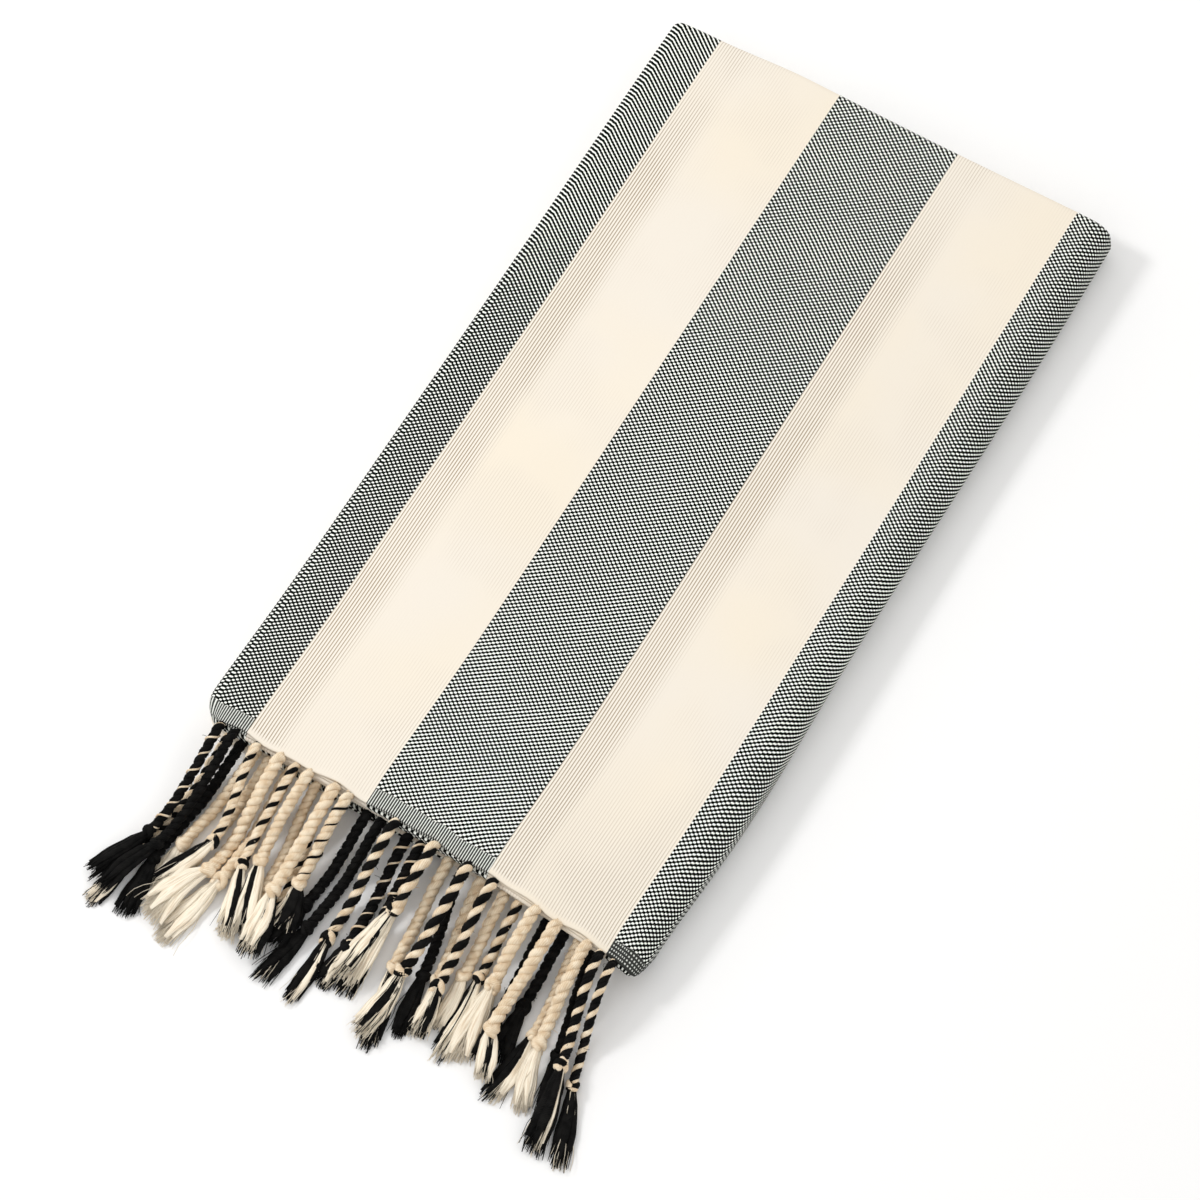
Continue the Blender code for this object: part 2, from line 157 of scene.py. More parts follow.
TOP_ROPES = [
    Rope(-103.5, -110, 61, -124, 94, "kk", 1.0, 0.13, 0.9),
    Rope(-111.0, -117, 58, -132, 89, "kkf", 1.0, 0.13, 0.9),
    Rope(-91.0, -88, 47, -101, 77, "cck", 0.5, 0.14, 0.9),
    Rope(-69.5, -70, 50, -60, 84, "cck", 0.15, 0.18, 0.9),
    Rope(-78.0, -83, 59, -98, 93, "cc", 0.0, 0.28, 1.1),
    Rope(-62.0, -64, 43, -53, 79, "cc", 0.1, 0.20, 1.0),
    Rope(-47.5, -50, 54, -44, 87, "cc", 0.6, 0.20, 1.1),
    Rope(-40.0, -42, 44, -37, 69, "ccb", 0.9, 0.18, 1.0),
    Rope(-14.0, -17, 60, -18, 96, "kc", 0.8, 0.18, 1.0),
    Rope(8.0, 4, 33, -1, 75, "ck", 0.15, 0.26, 1.05),
    Rope(27.0, 23, 57, 19, 94, "kc", 0.15, 0.24, 1.05),
    Rope(41.0, 41, 57, 44, 80, "kc", 0.35, 0.15, 1.0),
    Rope(65.0, 62, 42, 66, 81, "cc", 0.0, 0.30, 1.1),
    Rope(77.0, 73, 61, 81, 84, "cc", 0.1, 0.16, 1.1),
    Rope(94.0, 96, 57, 104, 88, "cc", 0.0, 0.16, 1.05),
    Rope(101.5, 110, 61, 117, 101, "kkc", 0.9, 0.28, 1.0),
    Rope(109.0, 118, 64, 132, 101, "kkc", 0.5, 0.18, 0.9),
]
SECTIONS = [
    Section(0.12, 4.4, 3.2),
    Section(0.25, 4.4, 4.2),
    Section(0.90, 4.4, 4.2),
    Section(0.96, 6.0, 5.2),
    Section(1.04, 6.0, 5.2),
    Section(1.16, 4.4, 3.8),
    Section(1.38, 4.8, 3.5),
    Section(1.60, 5.4, 3.2),
    Section(1.80, 5.8, 2.8),
    Section(2.00, 6.2, 2.4),
]

# The yarn as it shows. The colours are those of the yarns in main(): 0 cream, 1 black, 2 loose cream.
Ply = namedtuple("Ply", "radius offset colour")
Wave = namedtuple("Wave", "size length")
Lock = namedtuple("Lock", "side rise reach drift wave phase black")
Bead = namedtuple("Bead", "place radius outward")  # a point of a strand
THICK = "ck"  # the plies that aren't thin threads
PLIES = {
    "c": Ply(1.98 * MM, 1.40 * MM, 0),
    "k": Ply(1.82 * MM, 1.32 * MM, 1),
    "f": Ply(0.55 * MM, 2.50 * MM, 0),
    "b": Ply(0.60 * MM, 2.50 * MM, 1),
}
PLY_FLATNESS = 0.86
LEAD_PLY = 1.10  # in a rope of two colours, how much thicker the first ply is, and how thin the second
SECOND_PLY = 0.86
TWIST = 8.8 * MM  # the length of one full turn of the plies, in one colour and in two
MIXED_TWIST = 10.4 * MM
TWIST_RANGE = (0.92, 1.08)
TWIST_WAVES = (Wave(0.45, 7.3 * MM), Wave(0.50, 17 * MM))  # how far ahead or behind the twist runs
PLY_LUMPS = Wave(0.06, 3.1 * MM)
THREAD_SINK = 0.55 * MM  # how far a thin thread sinks between the plies and stands out of them
THREAD_WAVE = 3.4 * MM
PLY_STEP = 0.8 * MM
PLY_SIDES = 8
ROOT_DIP = 1.2 * MM  # how far below its layer's middle a rope leaves the hem
ROOT_REACH = 5 * MM
ROOT_SHARE = 0.75  # how thick a rope is where it leaves the hem
KNOT_TUBE = 1.85 * MM
KNOT_TURN_RADIUS = 2.35 * MM
KNOT_LENGTH = 4.6 * MM
KNOT_TURNS = 1.15
KNOT_SWAY = 1.2 * MM
KNOT_TUCK = 0.55  # how far out and how thick a knot's strand is at its ends, as shares
KNOT_THIN = 0.65
KNOT_FLATNESS = 0.85
KNOT_STEPS = 28
KNOT_REACH = 0.12  # the share of a rope's way over which it rises to its knot
REST = 0.05 * MM  # the lowest that any yarn lies over the floor

YARN = 0.30 * MM
YARN_SIDES = 4
YARN_STEPS = 8
YARNS_A_TUFT = 85
YARNS_FOR_SPREAD = 190  # more of them in a tuft that spreads further than the narrowest
NARROWEST = 0.12
YARN_REACH = (0.90, 1.03)
YARN_WAVE = 0.35 * MM
YARN_TURNS = (1.0, 2.2)
YARN_RANGE = (0.75, 1.25)
YARN_HOLD = (0.35, 0.85)  # how closely a yarn keeps to its lock
YARN_TAPER = 0.5
BLACK_IN_BLACK = 0.88  # the shares of black yarn in a black and in a cream lock of a mixed tuft
BLACK_IN_CREAM = 0.07
FLYAWAY = 0.06  # the share of yarns that stray far out, and how they differ
FLYAWAY_WAVE = 0.9 * MM
FLYAWAY_SPLAY = (1.2, 1.9)
FLYAWAY_SIZE = 0.7
LOCKS = 7  # the yarn of a tuft hangs together in locks
LOCK_ASKEW = 0.3
LOCK_OUT = (0.45, 0.8)
LOCK_WIDTH = 0.46  # a lock's half width as a share of its tuft's
LOCK_LENGTHS = (0.88, 1.04)
LOCK_DRIFT = 0.9 * MM
LOCK_WAVE = 0.7 * MM
LOCK_WAVES = 4.2  # how much of a wave a lock makes, in radians
LOCK_REACH = 0.90  # how far towards its yarns' ends a lock holds together
LOCK_CLOSES = 0.6  # the share of the way from which it closes, and how far
LOCK_CLOSING = 0.75
LOCK_STEPS = 8
LOCK_SIDES = 8
TUFT_NECK = 1.9 * MM  # half a tuft's width at its knot, and how much it gains by the first quarter
TUFT_BELLY = 1.3 * MM
BELLY_AT = 0.25
TUFT_END = 2.6 * MM
TUFT_SPREAD = 21 * MM
TUFT_FLARE = 1.5
TUFT_DEPTH = 2.0 * MM
TUFT_BEND = 0.8 * MM
TUFT_LIFT_FROM = 1.1  # where past its knot a rope loses the lift of its thickness, and how fast
TUFT_LIFT_LOSS = 2.2

STRAYS_A_ROPE = 5
STRAYS_FROM = 0.1
STRAY_ROOT = 2.9 * MM
STRAY_DRIFT = 1.3 * MM
STRAY_RISE = 0.6 * MM
STRAY_ARCH = 0.7 * MM
STRAY_REST = 0.2 * MM
STRAY_YARN = 0.11 * MM
STRAY_STEPS = 5
STRAY_SIDES = 3
SEED = 7


def fold_line(place, heading, moves):
    """The parts of a line folded in a plane: straight runs, and half turns to its left or right."""
    parts = []
    start = 0.0
    for move in moves:
        parts.append(Part(start, move.length, move.side, place, heading))
        left = Vector((-heading.y, heading.x))
        if move.side:
            place = place + left * (2 * move.side * move.length / pi)
            heading = -heading
        else:
            place = place + heading * move.length
        start += move.length
    return parts


def on_line(parts, distance):
    """The place on a folded line at a distance along it, and the direction to its left there."""
    part = parts[0]
    for later in parts[1:]:
        if distance >= later.start:
            part = later
    passed = distance - part.start
    left = Vector((-part.heading.y, part.heading.x))
    if not part.side:
        return part.place + part.heading * passed, left
    radius = part.length / pi
    angle = part.side * passed / radius
    turned = left * cos(angle) - part.heading * sin(angle)
    centre = part.place + left * (part.side * radius)
    return centre - turned * (part.side * radius), turned


def half_turn(radius, side):
    """A half turn of a folded line, to its left (1) or right (-1)."""
    return Move(pi * radius, side)


def width_line():
    """The fold across the width, in (x, z), of the middle of a stack of four layers."""
    small = STACK_PITCH / 2
    large = 1.5 * STACK_PITCH
    left_centre = -TOP_WIDTH / 2 + small + STACK / 2
    right_centre = TOP_WIDTH / 2 - large - STACK / 2
    run = right_centre - left_centre
    first = LEFT_FOLD - run - 1.5 * pi * small
    last = FLAT_WIDTH - first - 2 * run - pi * (2 * small + large)
    start = Vector((right_centre - first, STACK_PITCH + STACK / 2))
    turns = [half_turn(small, 1), half_turn(small, -1), half_turn(large, -1)]
    moves = [Move(first, 0), turns[0], Move(run, 0), turns[1], Move(run, 0), turns[2], Move(last, 0)]
    return fold_line(start, Vector((1, 0)), moves)


def length_line():
    """The fold along the length, in (y, height in a stack): four layers, both ends at the hem."""
    small = LAYER_PITCH / 2
    large = 1.5 * LAYER_PITCH
    run = Move((FLAT_LENGTH - pi * (2 * small + large)) / 4, 0)
    start = Vector((HEM_LINE, 2 * LAYER_PITCH + CLOTH / 2))
    moves = [run, half_turn(small, -1), run, half_turn(small, 1), run, half_turn(large, 1), run]
    return fold_line(start, Vector((1, 0)), moves)


WIDTH_LINE = width_line()
LENGTH_LINE = length_line()
TOP_RUN = WIDTH_LINE[4]
SECOND_RUN = WIDTH_LINE[2]
OUTER_TURN = WIDTH_LINE[5]  # the turn round all the layers, and how much further its outermost goes
OUTER_STRETCH = STACK / 2 / (1.5 * STACK_PITCH)
LAST_RUN = LENGTH_LINE[6]


def eased(share):
    """0 to 1 with level ends."""
    share = min(max(share, 0.0), 1.0)
    return share * share * (3 - 2 * share)


def round_corner(x, y, corner):
    """Draws a square corner of the outline in to a round one."""
    edge_x = TOP_WIDTH / 2
    edge_y = -HEM_LINE
    u = (x * corner.x_side - edge_x) / corner.radius + 1
    v = (y * corner.y_side - edge_y) / corner.radius + 1
    if u <= 0 or v <= 0:
        return x, y
    drawn_u = u * sqrt(1 - min(v, CORNER_LIMIT) ** 2 / 2)
    drawn_v = v * sqrt(1 - min(u, CORNER_LIMIT) ** 2 / 2)
    x = corner.x_side * (edge_x + (drawn_u - 1) * corner.radius)
    y = corner.y_side * (edge_y + (drawn_v - 1) * corner.radius)
    return x, y


def settled(x, y, z):
    """Where a point of the evenly folded towel comes to lie: rounder, softer and less even."""
    for corner in CORNERS:
        x, y = round_corner(x, y, corner)
    height_share = z / HEIGHT
    bend = x - TOP_WIDTH / 2 + HEIGHT / 2
    rise = 2 * height_share - 1
    if bend > 0 and rise > 0:
        x += bend * SQUARE * rise ** 2
    near_hem = eased((HEM_LINE + HEM_REACH - y) / HEM_REACH)
    near_far = eased((HEM_LINE + HEM_REACH + y) / HEM_REACH)
    far_share = eased((FAR_BACK_FROM - x) / FAR_BACK_OVER)
    corner_share = max(0.0, (x - HEM_CORNER_FROM) / (TOP_WIDTH / 2 - HEM_CORNER_FROM)) ** 2
    hanging = eased((height_share - HANG_FROM) / HANG_OVER)
    hang = HEM_CORNER * hanging - HEM_CORNER_BACK * (1 - hanging)
    right = eased((x - TOP_WIDTH / 2 + SHOULDER) / SHOULDER)
    left = eased((SHOULDER - TOP_WIDTH / 2 - x) / SHOULDER)
    hem = eased((SHOULDER + HEM_LINE - y) / SHOULDER)
    hem *= HEM_FALL_LEFT + (1 - HEM_FALL_LEFT) * corner_share
    wave = sin(x / WAVE_ACROSS + WAVE_SHIFT[0]) * sin(y / WAVE_ALONG + WAVE_SHIFT[1])
    slip = sin(y / SLIP_ALONG + SLIP_TURN * height_share) * (1 - height_share) * (near_hem - 1)
    z *= 1 - RIGHT_FALL * right - LEFT_FALL * left - HEM_FALL * hem + WAVE / HEIGHT * wave
    x += SLIP * slip - near_hem ** 3 * (HEM_SLIP + HEM_SLIP_RIGHT * right)
    y += near_hem * (HEM_BACK * (1 - corner_share) - hang * corner_share)
    y -= near_far * far_share * FAR_BACK
    return Vector((x, y, z))


def cloth_point(across, along, offset):
    """A point of the folded cloth, from its place in the flat cloth and its offset from the middle."""
    layer, layer_left = on_line(LENGTH_LINE, along)
    layer = layer - layer_left * offset
    middle, middle_left = on_line(WIDTH_LINE, across)
    middle = middle + middle_left * (layer.y - STACK / 2)
    return settled(middle.x, layer.x, middle.y)


def relief(across, along):
    """How far the top layer's own ridges and hem stand up, and how far its hem ripples along."""
    inside = eased((across - TOP_RUN.start) / SHOULDER)
    inside *= eased((TOP_RUN.start + TOP_RUN.length - across) / SHOULDER)
    inside *= eased((along - LAST_RUN.start) / SHOULDER)
    if inside <= 0:
        return 0.0, 0.0
    x = TOP_RUN.place.x + across - TOP_RUN.start
    y = LAST_RUN.place.x - (along - LAST_RUN.start)
    lift = 0.0
    for crease in CREASES:
        angle = radians(crease.angle)
        direction = Vector((cos(angle), sin(angle)))
        away = Vector((x / MM - crease.x, y / MM - crease.y))
        down = away.dot(direction) / crease.length
        side = (away - direction * away.dot(direction)).length / crease.width
        lift += crease.rise * MM * exp(-down * down - side * side)
    hem = eased(1 - (FLAT_LENGTH - along) / HEM_LIFT_REACH)
    ripple = (sin(x / RIPPLE_SHORT) + sin(x / RIPPLE_LONG + RIPPLE_SHIFT)) / 2
    lift += hem * HEM_LIFT * (1 + ripple) / 2
    return lift * inside, hem * HEM_RIPPLE * ripple * inside


def rows_over(parts, length, fine_part):
    """Distances along a folded line at which the sheet has its rows, close together on one part."""
    found = []
    for part in parts:
        if part.side:
            count = WIDE_TURN_ROWS if part.length > WIDE_TURN else TURN_ROWS
            rows = [part.length * i / count for i in range(count)]
        else:
            middle = part.length - 2 * SIDE_ROWS[-1]
            count = ceil(middle / (FINE_ROW if part is fine_part else COARSE_ROW))
            rows = list(SIDE_ROWS) + [SIDE_ROWS[-1] + middle * i / count for i in range(1, count + 1)]
            rows += [part.length - row for row in reversed(SIDE_ROWS[1:-1])]
        found += [part.start + row for row in rows]
    return found + [length]


def add_object(name, data):
    """A new object in the scene."""
    added = bpy.data.objects.new(name, data)
    bpy.context.scene.collection.objects.link(added)
    return added


class Mesh:
    """Collects the points, faces, UVs and material numbers of one piece."""

    def __init__(self):
        self.points = []
        self.faces = []
        self.uvs = []
        self.materials = []

    def add_face(self, corners, uvs, material=0):
        self.faces.append(corners)
        self.uvs.extend(uvs)
        self.materials.append(material)

    def tube(self, rings, uv_start, material):
        """Faces round and over the ends of rings of points, which all have the same count."""
        first = len(self.points)
        sides = len(rings[0])
        for ring in rings:
            self.points.extend(Vector((place.x, place.y, max(place.z, REST))) for place in ring)
        passed = uv_start
        for i in range(len(rings) - 1):
            step = (rings[i + 1][0] - rings[i][0]).length
            for j in range(sides):
                k = (j + 1) % sides
                a = first + i * sides
                b = a + sides
                u, w = j / sides, (j + 1) / sides
                uvs = [(u, passed), (w, passed), (w, passed + step), (u, passed + step)]
                self.add_face((a + j, a + k, b + k, b + j), uvs, material)
            passed += step
        last = first + (len(rings) - 1) * sides
        self.add_face(tuple(range(first + sides - 1, first - 1, -1)), [(0, uv_start)] * sides, material)
        self.add_face(tuple(range(last, last + sides)), [(0, passed)] * sides, material)

    def build(self, name, materials):
        """Makes the object, smooth, with its flat coordinates as a UV map."""
        data = bpy.data.meshes.new(name)
        data.from_pydata([tuple(p) for p in self.points], [], self.faces)
        layer = data.uv_layers.new(name="Flat")
        layer.data.foreach_set("uv", [value for uv in self.uvs for value in uv])
        for material in materials:
            data.materials.append(material)
        data.polygons.foreach_set("material_index", self.materials)
        data.shade_smooth()
        data.validate()
        data.update()
        return add_object(name, data)


def build_cloth(material):
    """The whole towel as one fine closed sheet, with the cloth's own flat coordinates as its UV map."""
    across = rows_over(WIDTH_LINE, FLAT_WIDTH, TOP_RUN)
    along = rows_over(LENGTH_LINE, FLAT_LENGTH, LAST_RUN)
    sheet = Mesh()
    for offset in (-CLOTH / 2, CLOTH / 2):
        for s in across:
            for t in along:
                point = cloth_point(s, t, offset)
                lift, ripple = relief(s, t)
                sheet.points.append(point + Vector((0, ripple, lift)))
    columns = len(across)
    rows = len(along)
    over = columns * rows

    def face(*places):
        """A face of the sheet, from its corners as (side, column, row)."""
        numbers = tuple(side * over + i * rows + j for side, i, j in places)
        sheet.add_face(numbers, [(across[i], along[j]) for _, i, j in places])

    for i in range(columns - 1):
        for j in range(rows - 1):
            face((0, i, j), (0, i, j + 1), (0, i + 1, j + 1), (0, i + 1, j))
            face((1, i, j), (1, i + 1, j), (1, i + 1, j + 1), (1, i, j + 1))
        face((0, i, 0), (0, i + 1, 0), (1, i + 1, 0), (1, i, 0))
        end = rows - 1
        face((0, i, end), (1, i, end), (1, i + 1, end), (0, i + 1, end))
    for j in range(rows - 1):
        face((0, 0, j), (1, 0, j), (1, 0, j + 1), (0, 0, j + 1))
        end = columns - 1
        face((0, end, j), (0, end, j + 1), (1, end, j + 1), (1, end, j))
    return sheet.build("striped_cloth", [material])


def root_across(rope, run):
    """How far across the flat cloth a rope is rooted, from its place on the hem of a straight run."""
    return run.start + (rope.root * MM - run.place.x) * run.heading.x


def rope_plan(root, rope):
    """Points of a rope seen from above: out of the hem, in a slow bend to its knot, to its tip."""
    knot = Vector((rope.knot_x * MM, HEM_LINE - rope.knot_out * MM))
    tip = Vector((rope.tip_x * MM, HEM_LINE - rope.tip_out * MM))
    start = root.to_2d()
    leave = Vector((0, -1)) * (knot - start).length
    arrive = (tip - start).normalized() * (knot - start).length
    plan = []
    steps = round((knot - start).length / ROPE_SAMPLE)
    for i in range(steps):
        a = i / steps
        b = 1 - a
        bend = start * (b * b * (1 + 2 * a)) + leave * (a * b * b)
        bend = bend + knot * (a * a * (1 + 2 * b)) - arrive * (a * a * b)
        plan.append((a, bend))
    steps = round((tip - knot).length / ROPE_SAMPLE)
    for i in range(steps + 1):
        plan.append((1 + i / steps, knot.lerp(tip, i / steps)))
    return plan


def section_at(along):
    """A rope's width and height at a share of its way, 0 at the hem, 1 at the knot and 2 at the tip."""
    before = Section(0.0, ROPE_ROOT / MM, CLOTH / MM)
    for after in SECTIONS:
        if along <= after.along:
            share = (along - before.along) / (after.along - before.along)
            width = before.width + (after.width - before.width) * share
            height = before.height + (after.height - before.height) * share
            return width * MM, height * MM
        before = after
    return before.width * MM, before.height * MM


def height_over(point, half_width, half_height, fallen):
    """How high a point of a rope has to be to clear the ropes that already lie there."""
    needed = half_height
    for other in fallen:
        reach = half_width + other.half_width + ROPE_CLEAR
        if (other.place.to_2d() - point).length < reach:
            needed = max(needed, other.place.z + half_height + other.half_height + ROPE_CLEAR)
    return needed


def lay_rope(root, rope, fallen):
    """The rope's middle line, let down from its root on the floor and on the ropes below it."""
    plan = rope_plan(root, rope)
    passed = [0.0]
    for (_, before), (_, after) in zip(plan, plan[1:]):
        passed.append(passed[-1] + (after - before).length)
    sizes = [section_at(along) for along, _ in plan]
    needs = [root.z]
    for (_, point), (width, height) in zip(plan[1:], sizes[1:]):
        needs.append(height_over(point, width / 2, height / 2, fallen))
    heights = [max(n - ROPE_SAG * (p - q) ** 2 for n, q in zip(needs, passed)) for p in passed]
    eased_heights = []
    for i, need in enumerate(needs):
        reach = min(ROPE_SMOOTH, i, len(needs) - 1 - i)
        near = heights[i - reach : i + reach + 1]
        eased_heights.append(max(need, sum(near) / len(near)))
    eased_heights[0] = root.z
    line = [(along, Vector((*point, z))) for (along, point), z in zip(plan, eased_heights)]
    for i, (_, place) in enumerate(line):
        ahead = line[min(i + 1, len(line) - 1)][1] - line[max(i - 1, 0)][1]
        steepness = ahead.length / ahead.to_2d().length
        fallen.append(Sample(place, sizes[i][0] / 2, sizes[i][1] / 2 * steepness))
    return line


class Path:
    """The line of a rope through points, read by the distance along it, and how far along it knots."""

    def __init__(self, points, before_knot):
        self.points = points
        self.passed = [0.0]
        for before, after in zip(points, points[1:]):
            self.passed.append(self.passed[-1] + (after - before).length)
        self.length = self.passed[-1]
        self.knot = self.passed[before_knot]

    def at(self, distance):
        """The place at a distance along the line; past an end it runs straight on."""
        index = 0
        while index < len(self.points) - 2 and self.passed[index + 1] < distance:
            index += 1
        span = self.passed[index + 1] - self.passed[index]
        return self.points[index].lerp(self.points[index + 1], (distance - self.passed[index]) / span)

    def axes(self, distance):
        """Directions across the line and up from it at a distance along it."""
        ahead = (self.at(distance + MM) - self.at(distance - MM)).normalized()
        across = ahead.cross(UP).normalized()
        return across, across.cross(ahead)

    def outward(self, distance, angle):
        """The direction away from the line at an angle from across it to up."""
        across, up = self.axes(distance)
        return across * cos(angle) + up * sin(angle)


def ring_round(bead, ahead, flatness, sides):
    """Points of a strand's section: a circle, or flatter by flatness along the bead's outward."""
    outward = (bead.outward - ahead * bead.outward.dot(ahead)).normalized()
    side = ahead.cross(outward)
    ring = []
    for i in range(sides):
        angle = 2 * pi * i / sides
        place = bead.place + outward * (cos(angle) * bead.radius * flatness)
        ring.append(place + side * (sin(angle) * bead.radius))
    return ring


def add_strand(mesh, beads, flatness, sides, material, uv_start):
    """A closed tube through beads."""
    rings = []
    for i, bead in enumerate(beads):
        ahead = beads[min(i + 1, len(beads) - 1)].place - beads[max(i - 1, 0)].place
        rings.append(ring_round(bead, ahead.normalized(), flatness, sides))
    mesh.tube(rings, uv_start, material)


def add_plies(mesh, path, rope, luck):
    """The rope from the hem to its knot: plies twisted round each other."""
    turn = luck.uniform(0, 2 * pi)
    thick = [kind for kind in rope.plies if kind in THICK]
    pitch = (TWIST if len(set(thick)) == 1 else MIXED_TWIST) * rope.size * luck.uniform(*TWIST_RANGE)
    steps = round(path.knot / PLY_STEP)
    for number, kind in enumerate(rope.plies):
        ply = PLIES[kind]
        if kind in THICK:
            phase = 2 * pi * number / len(thick)
            shrink = sqrt(2 / len(thick))
            if len(set(thick)) == 2 and len(thick) == 2:
                shrink = SECOND_PLY if number else LEAD_PLY
        else:
            phase = pi / len(thick)
            shrink = 1.0
        beads = []
        for i in range(steps + 1):
            distance = path.knot * i / steps
            angle = turn + phase - 2 * pi * distance / pitch
            for shift, wave in enumerate(TWIST_WAVES, 1):
                angle += wave.size * sin(distance / wave.length + shift * turn)
            sunk = 0.0 if kind in THICK else THREAD_SINK * sin(distance / THREAD_WAVE + phase)
            outward = path.outward(distance, angle)
            grown = ROOT_SHARE + (1 - ROOT_SHARE) * eased(distance / ROOT_REACH)
            lumpy = 1 + PLY_LUMPS.size * sin(distance / PLY_LUMPS.length + phase + turn)
            centre = path.at(distance) + outward * (ply.offset - sunk) * rope.size * grown
            beads.append(Bead(centre, ply.radius * shrink * rope.size * grown * lumpy, outward))
        add_strand(mesh, beads, PLY_FLATNESS, PLY_SIDES, ply.colour, luck.random())


def add_knot(mesh, path, rope, luck):
    """An overhand knot: a strand that goes round the rope aslant and back over itself."""
    kinds = [kind for kind in rope.plies if kind in THICK]
    start = luck.uniform(0, 2 * pi)
    size = rope.size
    for number, kind in enumerate((kinds[0], kinds[-1])):
        slant = 1 if number else -1
        beads = []
        for i in range(KNOT_STEPS + 1):
            share = i / KNOT_STEPS
            angle = start + number * pi + slant * 2 * pi * KNOT_TURNS * share
            along = (share - 0.5) * KNOT_LENGTH * size + KNOT_SWAY * sin(angle + start)
            outward = path.outward(path.knot + along, angle)
            risen = sqrt(sin(pi * share))
            out = KNOT_TURN_RADIUS * size * (KNOT_TUCK + (1 - KNOT_TUCK) * risen)
            radius = KNOT_TUBE * size * (KNOT_THIN + (1 - KNOT_THIN) * risen)
            beads.append(Bead(path.at(path.knot + along) + outward * out, radius, outward))
        add_strand(mesh, beads, KNOT_FLATNESS, PLY_SIDES, PLIES[kind].colour, luck.random())


def tuft_locks(rope, luck):
    """The locks of a tuft, one after the other round it: places in its section, drifts and colours."""
    blacks = round(rope.black * LOCKS)
    first = luck.randrange(LOCKS)
    locks = []
    for i in range(LOCKS):
        angle = 2 * pi * (i + luck.uniform(-LOCK_ASKEW, LOCK_ASKEW)) / LOCKS
        out = luck.uniform(*LOCK_OUT)
        locks.append(Lock(
            side=out * cos(angle),
            rise=out * sin(angle),
            reach=luck.uniform(*LOCK_LENGTHS),
            drift=luck.gauss(0, LOCK_DRIFT),
            wave=luck.gauss(0, LOCK_WAVE),
            phase=luck.uniform(0, 2 * pi),
            black=(i - first) % LOCKS < blacks,
        ))
    return locks


def tuft_size(rope, share, splay=1.0):
    """Half a tuft's width and half its depth at a share of its length, neck, belly and flare."""
    neck = TUFT_NECK * rope.size
    belly = neck + TUFT_BELLY * rope.size
    end = (TUFT_END + TUFT_SPREAD * rope.spread) * rope.size
    width = neck + (belly - neck) * eased(share / BELLY_AT)
    width += (end - belly) * share ** TUFT_FLARE * splay
    return width, neck + (TUFT_DEPTH - neck) * share


def sway(lock, bend, share):
    """How far to the side a lock has gone at a share of its length."""
    wave = lock.wave * (sin(LOCK_WAVES * share + lock.phase) - sin(lock.phase))
    return (lock.drift + wave) * share + bend * sin(pi * share)


def add_lock(mesh, path, rope, lock, bend, luck):
    """The dense inside of a lock, which closes towards the ends of its yarns."""
    length = (path.length - path.knot) * lock.reach * LOCK_REACH
    rings = []
    for i in range(LOCK_STEPS + 1):
        share = i / LOCK_STEPS
        distance = path.knot + length * share
        across, _ = path.axes(min(distance, path.length))
        width, depth = tuft_size(rope, share)
        centre = path.at(distance) + across * (width * lock.side + sway(lock, bend, share))
        centre += UP * depth * lock.rise
        closing = 1 - LOCK_CLOSING * eased((share - LOCK_CLOSES) / (1 - LOCK_CLOSES))
        half_width = width * LOCK_WIDTH * closing
        half_depth = depth * LOCK_WIDTH * closing
        centre.z = max(centre.z, half_depth + REST)
        ring = []
        for j in range(LOCK_SIDES):
            angle = 2 * pi * j / LOCK_SIDES
            ring.append(centre + across * half_width * cos(angle) + UP * half_depth * sin(angle))
        rings.append(ring)
    black = lock.black if 0 < rope.black < 1 else rope.black
    mesh.tube(rings, luck.random(), 1 if black else 2)


def add_yarn(mesh, path, rope, lock, bend, luck):
    """One loose yarn of a tuft, which waves along its lock or strays from it."""
    out = sqrt(luck.random())
    angle = luck.uniform(0, 2 * pi)
    stray = luck.random() < FLYAWAY
    hold = 0.0 if stray else luck.uniform(*YARN_HOLD)
    reach = (path.length - path.knot) * lock.reach * luck.uniform(*YARN_REACH)
    wave = luck.gauss(0, FLYAWAY_WAVE if stray else YARN_WAVE)
    phase = luck.uniform(0, 2 * pi)
    turns = luck.uniform(*YARN_TURNS)
    thick = YARN * luck.uniform(*YARN_RANGE) * (FLYAWAY_SIZE if stray else 1.0)
    splay = luck.uniform(*FLYAWAY_SPLAY) if stray else 1.0
    black = rope.black
    if 0 < black < 1:
        black = luck.random() < (BLACK_IN_BLACK if lock.black else BLACK_IN_CREAM)
    beads = []
    for i in range(YARN_STEPS + 1):
        share = i / YARN_STEPS
        distance = path.knot + reach * share
        across, up = path.axes(min(distance, path.length))
        width, depth = tuft_size(rope, share, splay)
        joined = hold * share
        waving = 2 * pi * turns * share + phase
        side = width * (out * cos(angle) * (1 - joined) + lock.side * joined)
        side += sway(lock, bend, share) + wave * sin(waving) * share
        rise = depth * (out * sin(angle) * (1 - joined) + lock.rise * joined)
        rise += wave / 2 * cos(waving) * share
        place = path.at(distance) + across * side + UP * rise
        place.z = max(place.z, thick)
        beads.append(Bead(place, thick * (1 - YARN_TAPER * share ** 3), up))
    add_strand(mesh, beads, 1.0, YARN_SIDES, 1 if black else 2, luck.random())


def add_tuft(mesh, path, rope, luck):
    """The loose yarn past the knot: a soft brush of fine waving yarns that hang together in locks."""
    count = round((YARNS_A_TUFT + YARNS_FOR_SPREAD * (rope.spread - NARROWEST)) * rope.size)
    locks = tuft_locks(rope, luck)
    bend = luck.gauss(0, TUFT_BEND)
    for lock in locks:
        add_lock(mesh, path, rope, lock, bend, luck)
    for number in range(count):
        add_yarn(mesh, path, rope, locks[number % LOCKS], bend, luck)


